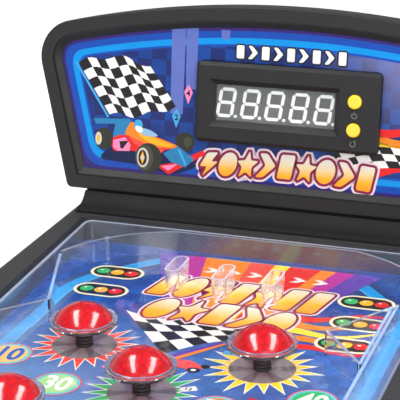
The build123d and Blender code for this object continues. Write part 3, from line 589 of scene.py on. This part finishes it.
# border stripes all round, under the arch guide at the rear
BORDER = [(-104, 60), (104, 60), (104, 374), (56, 431), (-56, 431), (-104, 374)]


def border(inset):
    return round_corners(grow(BORDER, -inset), 26)


def with_painted_sheen(colour):
    """colour at the rear, fading towards the front into the painted pale reflection (sheen)."""
    return (1, 260, 400, ((0.0, [0.35 * c + 0.65 * h for c, h in zip(colour, PAINTED_SHEEN_BLUE)]),
                          (0.45, [0.7 * c + 0.3 * h for c, h in zip(colour, PAINTED_SHEEN_BLUE)]),
                          (1.0, colour)))


# the stripes fade towards the front into the painted reflection
for name, colour, outer, inner in (("navy", NAVY, -9, -4), ("cyan", CYAN, -4, 3), ("sky", SKY, 3, 4.6),
                                   ("navy", NAVY, 4.6, 9)):
    play.lay("border_" + name, with_painted_sheen(colour), 1, *band(border(outer), border(inner)))

RAY_ROOT = (0.0, 250.0)
RAY_LOW, RAY_HIGH = 316.0, 434.0
RAY_EDGES = (-70, -50, -38, -8, 8, 18, 38, 48, 60, 78)
RAY_INKS = (("purple", PURPLE), ("magenta", MAGENTA), ("orange", ORANGE), ("coral", CORAL),
            ("yellow", YELLOW), ("red", RED),
            ("orange", ORANGE), ("magenta", MAGENTA), ("purple", PURPLE))


def ray_point(edge, level):
    return RAY_ROOT[0] + (edge - RAY_ROOT[0]) * (level - RAY_ROOT[1]) / (RAY_HIGH - RAY_ROOT[1]), level


for (name, colour), a, b in zip(RAY_INKS, RAY_EDGES, RAY_EDGES[1:]):
    play.lay(name, colour, 2, [ray_point(a, RAY_LOW), ray_point(b, RAY_LOW), ray_point(b, RAY_HIGH),
                               ray_point(a, RAY_HIGH)])

# chequered sweep below the title, and the flames that it turns into
def sweep(u, v):
    """u along the sweep, v across it from its front edge."""
    front = Vector((-14, 285)).lerp(Vector((44, 311)), u) + Vector((0, 15.0 * math.sin(math.pi * u)))
    rear = Vector((-56, 337)).lerp(Vector((34, 334)), u) + Vector((0, -5.0 * math.sin(2 * math.pi * u)))
    return tuple(front.lerp(rear, v))


SWEEP_CELLS = (9, 4)
chequers(play, *SWEEP_CELLS, sweep, 3)
for column, row, cell in grid(*SWEEP_CELLS, sweep):
    if column > 5 and (column + row) % 2:
        play.lay("blush", BLUSH, 4, cell)
play.lay("coral", CORAL, 4, [(34, 334), (44, 311), (52, 316), (46, 332)])
for k, (name, colour) in enumerate((("red", RED), ("orange", ORANGE), ("yellow", YELLOW),
                                    ("orange", ORANGE), ("red", RED))):
    def flame(t, off, k=k):
        return 42 + 54 * t, 306 + 12 * k + off + 4.5 * math.sin(5.5 * t + 0.9 * k) + 14 * t
    edge = [flame(s / 12, 8.5 * (1 - 0.75 * s / 12)) for s in range(13)]
    play.lay(name, colour, 3, *band([flame(s / 12, 0) for s in range(13)], edge, closed=False))

title(play, "title_upper", ("bar", "disc", "bolt", "bar", "star", "bar", "bar"), -54, 56, 366, 399, 6, 5,
      rise=-2.0)
title(play, "title_lower", ("disc", "star", "bar", "chevron", "disc"), -46, 44, 330, 361, 5, 5, arch=2.0)
for k in range(6):
    points = [(-32 + 14 * k + 10 * x, 409 + 8 * y) for x, y in MOTIFS["chevron"]]
    play.lay("white", WHITE, 4, points)

# traffic lights
LIGHTS = ((-83, 392), (-82, 362), (77, 390), (80, 358), (79, 327))
for centre in LIGHTS:
    play.lay("cream", CREAM, 5, capsule(centre, 35, 19.5))
    play.lay("black", BLACK, 6, capsule(centre, 31, 15.5))
    for k, (name, colour) in enumerate((("green", GREEN), ("amber", AMBER), ("red", RED))):
        lamp = (centre[0] + 9.3 * (k - 1), centre[1])
        play.lay(name, colour, 7, oval(lamp, 4.2, 4.2, 24))
        play.lay("white", WHITE, 8, oval((lamp[0] - 1.3, lamp[1] + 1.4), 1.0, 0.8, 12))

# starbursts round the bumpers
BURSTS = (("coral", CORAL), ("yellow", YELLOW), ("green", GREEN), ("yellow", YELLOW), ("coral", CORAL))
for k, (centre, (name, colour)) in enumerate(zip(bumpers, BURSTS)):
    play.lay("white", WHITE, 3, star(centre, 19.5, 35.5, 19, 4 * k, 0.16, k))
    play.lay(name, colour, 4, star(centre, 17.8, 32.5, 19, 4 * k, 0.16, k))
    # the reflective disc under each bumper is drawn as flat grey with darker sectors: painted reflection
    play.lay("mirror", (0.20, 0.20, 0.215), 5, oval(centre, 18.4, 18.4, 48))
    for s in range(6):
        sector = [centre] + [(centre[0] + 18.2 * math.cos(a), centre[1] + 18.2 * math.sin(a))
                             for a in [math.radians(60 * s + 5 * k + d) for d in (0, 6, 12, 18, 24)]]
        play.lay("mirror_dark", (0.115, 0.115, 0.13), 6, sector)

# scores in ovals
SCORES = (("10", (-95.5, 259), ("peach", PEACH), ("blue", BLUE)),
          ("30", (-55, 232), ("pale_green", PALE_GREEN), ("white", WHITE)),
          ("40", (80, 252.5), ("green", GREEN), ("white", WHITE)),
          ("20", (-96, 214), ("pale_yellow", PALE_YELLOW), ("orange", ORANGE)),
          ("50", (34, 230), ("orange", ORANGE), ("white", WHITE)),
          ("60", (-8, 182), ("yellow", YELLOW), ("blue", BLUE)))
for digits, centre, ground, figure in SCORES:
    play.lay("coral", CORAL, 5, oval(centre, 13.5, 14.3))
    play.lay("aqua", AQUA, 6, oval(centre, 12.6, 13.4))
    play.lay(ground[0], ground[1], 7, oval(centre, 10.6, 11.4))
    numerals(play, figure[0], figure[1], 8, digits, centre, 15.0, 0.74)

# a small car with its light beam, and loose tags
play.lay("orange", ORANGE, 5, [(-12, 282), (-5, 279), (16, 308), (12, 310)])
play.lay("purple", PURPLE, 6, [(-12, 282), (-9, 280), (14, 308.5), (12, 310)])
play.lay("coral", CORAL, 6, curve([(-10, 276), (-2, 281), (6, 280), (13, 274), (8, 270), (0, 271),
                                   (-7, 271)], 4))
play.lay("black", BLACK, 7, oval((-6, 271), 3.4, 3.0, 16), oval((9, 270), 3.8, 3.2, 16),
         oval((14, 276), 2.6, 2.2, 16))
play.lay("white", WHITE, 8, oval((-6, 271), 1.4, 1.2, 12), oval((9, 270), 1.5, 1.3, 12))
TAGS = (("sky", SKY, (22, 297)), ("pink", PINK, (-36, 262)), ("red", RED, (52, 243)),
        ("white", WHITE, (14, 247)))
for k, (name, colour, centre) in enumerate(TAGS):
    tag = turn([(-4.5, -2.6), (2.5, -2.6), (5.5, 0), (2.5, 2.6), (-4.5, 2.6)], 70 * k)
    play.lay(name, colour, 5, [(x + centre[0], y + centre[1]) for x, y in tag])
    numerals(play, "black", BLACK, 6, str(3 * k + 3), centre, 3.0)

# lower playfield: lanes, arrows and a fan over the flippers
for side in (-1, 1):
    for k in range(3):
        arrow = [(-8 + side * (62 - 9 * k) + 7 * (x - 0.5), 134 - 10 * k + 9 * y) for y,
                 x in MOTIFS["chevron"]]
        play.lay(("yellow", "orange", "red")[k], (YELLOW, ORANGE, RED)[k], 4, arrow)
for k in range(7):
    a = math.radians(30 + 20 * k)
    spot = (-8 + 40 * math.cos(a), 92 + 40 * math.sin(a))
    play.lay("cream", CREAM, 4, oval(spot, 4.6, 4.6, 24))
    play.lay(("red", "amber", "green")[k % 3], (RED, AMBER, GREEN)[k % 3], 5, oval(spot, 3.6, 3.6, 24))
play.finish()

# ---- head print ----
head = Print("head", ART)
ART_FOOT, ART_SIDE = (136.1, 13.6), (156.1, 95.9)     # lower and upper corners of the art inside the frame
TOP_RADIUS, TOP_CENTRE = 653.9, -539.0                # its upper edge
TOP_ARC = [(x, TOP_CENTRE + math.sqrt(TOP_RADIUS ** 2 - x * x)) for x in range(130, -131, -26)]
ART_OUTLINE = [(-ART_FOOT[0], ART_FOOT[1]), ART_FOOT, ART_SIDE] + TOP_ARC + [(-ART_SIDE[0], ART_SIDE[1])]


def frame_line(inset):
    return round_corners(grow(ART_OUTLINE, -inset), 12)


for name, colour, outer, inner in (("violet", (0.030, 0.015, 0.14), -2.0, 2.0), ("blue", HEAD_BLUE, 2.0, 6.5),
                                   ("cyan", (0.0, 0.24, 0.62), 6.5, 10.5), ("blue", HEAD_BLUE, 10.5, 12.0)):
    head.lay(name, colour, 1, *band(frame_line(outer), frame_line(inner)))

# pale beams, and tags at their ends
for x, low, width in ((-71.9, 55, 8.5), (-62.5, 72, 7.0), (-40, 106, 5)):
    head.lay("lavender", (0.10, 0.14, 0.42), 2, [(x - width / 2 - 0.6, 112), (x - width / 2, low),
                                                 (x + width / 2, low), (x + width / 2 + 0.6, 112)])
for k, (name, colour, centre) in enumerate((("sky", SKY, (-71.9, 51.6)), ("pink", PINK, (-64.1, 68.1)))):
    head.lay(name, colour, 3, [(centre[0] - 3, centre[1] + 2), (centre[0], centre[1] - 6),
                               (centre[0] + 3, centre[1] + 2), (centre[0], centre[1] + 7)])
    numerals(head, "black", BLACK, 4, str(2 * k + 2), (centre[0], centre[1] + 1), 3.6)

# chequered flag on its pole
def flag(u, v):
    """u along the flag from its pole, v down it."""
    top = Vector((-142, 84)).lerp(Vector((-91, 85)), u) + Vector((0,
        5.0 * math.sin(math.pi * u) + 1.6 * math.sin(4 * math.pi * u)))
    foot = Vector((-119, 51)).lerp(Vector((-72.5, 60)), u) + Vector((0,
        -3.0 * math.sin(math.pi * u) + 1.6 * math.sin(4 * math.pi * u)))
    return tuple(top.lerp(foot, v))


chequers(head, 8, 6, flag, 2)
head.lay("sky", SKY, 4, [(-144.6, 84.4), (-143.3, 84.9), (-119.2, 49.4), (-120.5, 48.8)])


def racing_car(sheet, at, scale, layer):
    """An open-wheeled racing car seen from its front left."""
    def put(name, colour, level, points, smooth=0):
        points = curve(points, smooth) if smooth else points
        sheet.lay(name, colour, layer + level, [(at[0] + scale * x, at[1] + scale * y) for x, y in points])
    tyre = (0.028, 0.028, 0.020)
    put("tyre_shade", (0.006, 0.012, 0.06), 0,
        [(-34, -8), (-10, -10), (18, -14), (38, -4), (20, 0), (-20, 2)], 4)
    put("tyre", tyre, 1, oval((25, 8.0), 6.6, 6.4, 24))
    put("rim_dark", (0.05, 0.06, 0.04), 2, oval((27, 8.0), 2.8, 3.4, 16))
    put("steel_blue", STEEL_BLUE, 1, [(-40, 18.5), (-14, 20), (-12, 17.0), (-38, 15.0)])
    put("steel_blue", STEEL_BLUE, 2, [(-24, 17), (-14, 19), (-16, 8), (-26, 6)])
    put("tyre", tyre, 3, oval((-32, 5.4), 6.6, 7.4, 24))
    put("silver", SILVER, 4, oval((-36, 5.2), 2.3, 4.4, 16))
    put("amber", AMBER, 5, oval((-36.2, 5.2), 1.1, 2.6, 12))
    put("red", RED, 3, [(-26, 6), (-16, 9), (7, 3.6), (19, 3.7), (11, 1), (5.6, -3.2), (-8, -1.4),
                        (-18, -1.5), (-25, -2)], 4)
    put("pink", PINK, 4, [(-25.5, 5), (-17, 7.6), (-13, 3), (-13.6, -1.5), (-22, -2.0), (-25.5, 0)])
    put("black", BLACK, 5, [(-21, 4.5), (-14.5, 5.4), (-18.5, -0.4), (-20.2, 0)])
    put("coral", CORAL, 4, [(-14, 8.2), (-4, 6.2), (8, 3.0), (10, 0.4), (2, 0.2), (-8, 2.6)], 4)
    put("orange", ORANGE, 5, [(-17, 10), (-13.4, 17.6), (-9.6, 17.0), (-9, 12), (3, 10), (20.5, 4.6),
                              (13, 2.6), (-1, 4.2), (-13, 8.4)], 4)
    put("amber", AMBER, 6, [(-8, 11.0), (3, 8.6), (17, 4.6), (8, 4.0), (-2, 6.4)], 4)
    put("screen", (0.25, 0.42, 0.60), 7, [(-5, 14.6), (1, 13.6), (6, 10.6), (1, 9.4), (-6, 11)], 4)
    put("sky", SKY, 7, oval((-7.8, 16.6), 3.1, 3.6, 20))
    put("white", WHITE, 8, [(-9.6, 15.8), (-5.2, 15.2), (-5.0, 11.6), (-9.0, 12.2)], 3)
    put("red", RED, 5, [(7, -9), (18, -6.6), (38, 3.6), (39.5, 0.8), (14.4, -14.8), (8, -11)])
    put("pink", PINK, 6, [(9, -9.6), (18.5, -7.6), (24, -4.6), (14, -12.4)])
    put("steel_blue", STEEL_BLUE, 7, [(10, -0.8), (20.5, 4.8), (32, -3), (26, -9), (15.5, -6.2)])
    put("sky", SKY, 8, [(20, 2.8), (22, 2.6), (27, -7.2), (25.4, -7.6)])
    put("tyre", tyre, 7, oval((0, -5), 9.4, 10.0, 32))
    put("tyre_edge", (0.06, 0.06, 0.045), 8, oval((-3.0, -5), 6.4, 8.6, 28))
    put("silver", SILVER, 9, oval((-4.0, -5), 4.2, 6.6, 24))
    put("black", BLACK, 10, oval((-4.2, -5), 3.0, 5.2, 20))
    put("amber", AMBER, 11, [(-6, -5), (-4.2, -0.6), (-2.6, -5), (-4.2, -9.4)])
    put("silver", SILVER, 12, oval((-4.2, -5), 1.1, 1.8, 12))


racing_car(head, (-90.5, 29.0), 1.0, 3)

# flames and a second flag, lower right
for k, (name, colour) in enumerate((("red", RED), ("orange", ORANGE), ("yellow", YELLOW),
                                    ("orange", ORANGE), ("red", RED))):
    def tongue(t, off, k=k):
        return 62 + 74 * t, 24 + 7.5 * k + off + 4 * math.sin(6 * t + k) + 10 * t
    edge = [tongue(s / 12, 5.5 * (1 - 0.6 * s / 12)) for s in range(13)]
    head.lay(name, colour, 2, *band([tongue(s / 12, 0) for s in range(13)], edge, closed=False))
chequers(head, 8, 3, lambda u, v: (30 + 66 * u + 8 * v, 36 + 7 * math.sin(3 * u) - 13 * v + 4 * u), 3)

title(head, "title_head", ("bolt", "disc", "star", "chevron", "bar", "star", "disc", "chevron", "bar"), -55,
      63, 15, 31, 3, 6, arch=3.5)
for k in range(9):
    points = round_corners([(-33 + 8.4 * k + 6.6 * x, 94.5 + 8.5 * y) for x,
                            y in MOTIFS["chevron" if k % 2 else "bar"]], 0.9, 3)
    head.lay("black", BLACK, 2, grow(points, 1.0))
    head.lay("white", WHITE, 3, points)
head.finish()

# ---- icons by the keys, on the bezel's face ----
bezel_face = box_on(ART, "display_bezel")[1][2]
BEZEL = ART @ Matrix.Translation((0, 0, bezel_face * MM))
icons = Print("bezel", BEZEL)
for key in ("power_button", "reset_button"):
    low, high = box_on(BEZEL, key)
    centre = ((low[0] + high[0]) / 2, low[1] - 3.4)
    ring = [(centre[0] + r * math.cos(math.radians(a)), centre[1] + r * math.sin(math.radians(a)))
            for r in (1.9, 1.4) for a in range(120, 421, 20)]
    icons.lay("icon", ICON, 1, *band(ring[:16], ring[16:], closed=False))
    if key == "power_button":
        icons.lay("icon", ICON, 1, [(centre[0] + x, centre[1] + y) for x,
                                    y in ((-0.3, 0.6), (0.3, 0.6), (0.3, 2.4), (-0.3, 2.4))])
    else:
        icons.lay("icon", ICON, 1, [(centre[0] + x, centre[1] + y) for x,
                                    y in ((0.2, 1.9), (1.6, 2.5), (1.4, 0.7))])
icons.finish()

# ---- floor, light and camera ----
FLOOR_SIZE = 12.0
GLOW_FROM, GLOW_TO = 0.45, 1.3      # distance from the machine over which the floor's glow rises
GLOW_NEAR, GLOW_FAR = 0.12, 0.75
floor_mesh = bpy.data.meshes.new("floor")
half = FLOOR_SIZE / 2
floor_mesh.from_pydata([(-half, -half, 0), (half, -half, 0), (half, half, 0), (-half, half, 0)], [],
                       [(0, 1, 2, 3)])
floor = bpy.data.objects.new("floor", floor_mesh)
bpy.context.scene.collection.objects.link(floor)
# the floor glows by emission, more away from the machine: painted light in place of the lit studio floor
floor_look = Look("floor_card", Roughness=0.8)
away = floor_look.add("VectorMath", {0: floor_look.place}, "Value", operation="LENGTH")
floor_look.set(Base_Color=floor_look.mottle((0.90, 0.90, 0.90), 0.01, 3.0), Emission_Color=rgba((1, 1, 1)),
               Emission_Strength=floor_look.remap(away, GLOW_FROM, GLOW_TO, GLOW_NEAR, GLOW_FAR))
floor_mesh.materials.append(floor_look.material)

# white to the camera; in reflections bright at the horizon and dim towards the ceiling, where the strips hang
world = bpy.data.worlds.new("studio")
world.use_nodes = True
sky = world.node_tree.nodes
background = sky["Background"]
heading = sky.new("ShaderNodeTexCoord")
parts = sky.new("ShaderNodeSeparateXYZ")
dome = sky.new("ShaderNodeValToRGB")
dome.color_ramp.elements[0].position, dome.color_ramp.elements[0].color = 0.02, (0.60, 0.60, 0.60, 1)
dome.color_ramp.elements[1].position, dome.color_ramp.elements[1].color = 0.55, (0.13, 0.13, 0.135, 1)
seen = sky.new("ShaderNodeLightPath")
blend = sky.new("ShaderNodeMix")
blend.data_type = "RGBA"
blend.inputs[7].default_value = (1, 1, 1, 1)
for a, b in ((heading.outputs["Generated"], parts.inputs[0]), (parts.outputs["Z"], dome.inputs[0]),
             (seen.outputs["Is Camera Ray"], blend.inputs[0]), (dome.outputs[0], blend.inputs[6]),
             (blend.outputs[2], background.inputs["Color"])):
    world.node_tree.links.new(a, b)
bpy.context.scene.world = world
bpy.context.scene.view_settings.view_transform = "Standard"


def softbox(name, start, end, width, power):
    """A softbox aimed at the machine: the middles of its two ends, and its width."""
    a, b = Vector(start), Vector(end)
    data = bpy.data.lights.new(name, "AREA")
    data.shape, data.size, data.size_y, data.energy = "RECTANGLE", width, (b - a).length, power
    lamp = bpy.data.objects.new(name, data)
    along = (b - a).normalized()
    down = (Vector((0, 0, 0.08)) - (a + b) / 2).normalized()
    side = along.cross(-down).normalized()
    lamp.matrix_world = basis((a + b) / 2, side, along, side.cross(along))
    bpy.context.scene.collection.objects.link(lamp)


CEILING = 1.3                       # height of the two strips
STRIP_POWER, FILL_POWER = 17, 34
softbox("strip_left", (-0.50 * CEILING, 0.30 * CEILING, CEILING),
        (-0.20 * CEILING, -0.95 * CEILING, CEILING), 0.24 * CEILING, STRIP_POWER)
softbox("strip_right", (0.33 * CEILING, 0.60 * CEILING, CEILING),
        (0.86 * CEILING, -0.55 * CEILING, CEILING), 0.26 * CEILING, STRIP_POWER)
softbox("front_fill", (0.5, -1.9, 1.0), (1.6, -1.5, 1.0), 0.7, FILL_POWER)

# the photograph's viewpoint in the playfield's axes
EYE = Vector((262.47, -461.32, 361.48))
YAW, PITCH, ROLL = -0.328, 0.329, -0.008
LENS = 141.46
ahead = Vector((math.sin(YAW) * math.cos(PITCH), math.cos(YAW) * math.cos(PITCH), -math.sin(PITCH)))
level = Vector((math.cos(YAW), -math.sin(YAW), 0))
upright = level.cross(ahead)
camera_right = math.cos(ROLL) * level + math.sin(ROLL) * upright
camera_up = -math.sin(ROLL) * level + math.cos(ROLL) * upright
camera_data = bpy.data.cameras.new("camera")
camera_data.lens, camera_data.sensor_width, camera_data.clip_end = LENS, 36.0, 50.0
camera = bpy.data.objects.new("camera", camera_data)
camera.matrix_world = PLAY @ basis(EYE * MM, camera_right, camera_up, -ahead)
bpy.context.scene.collection.objects.link(camera)
bpy.context.scene.camera = camera
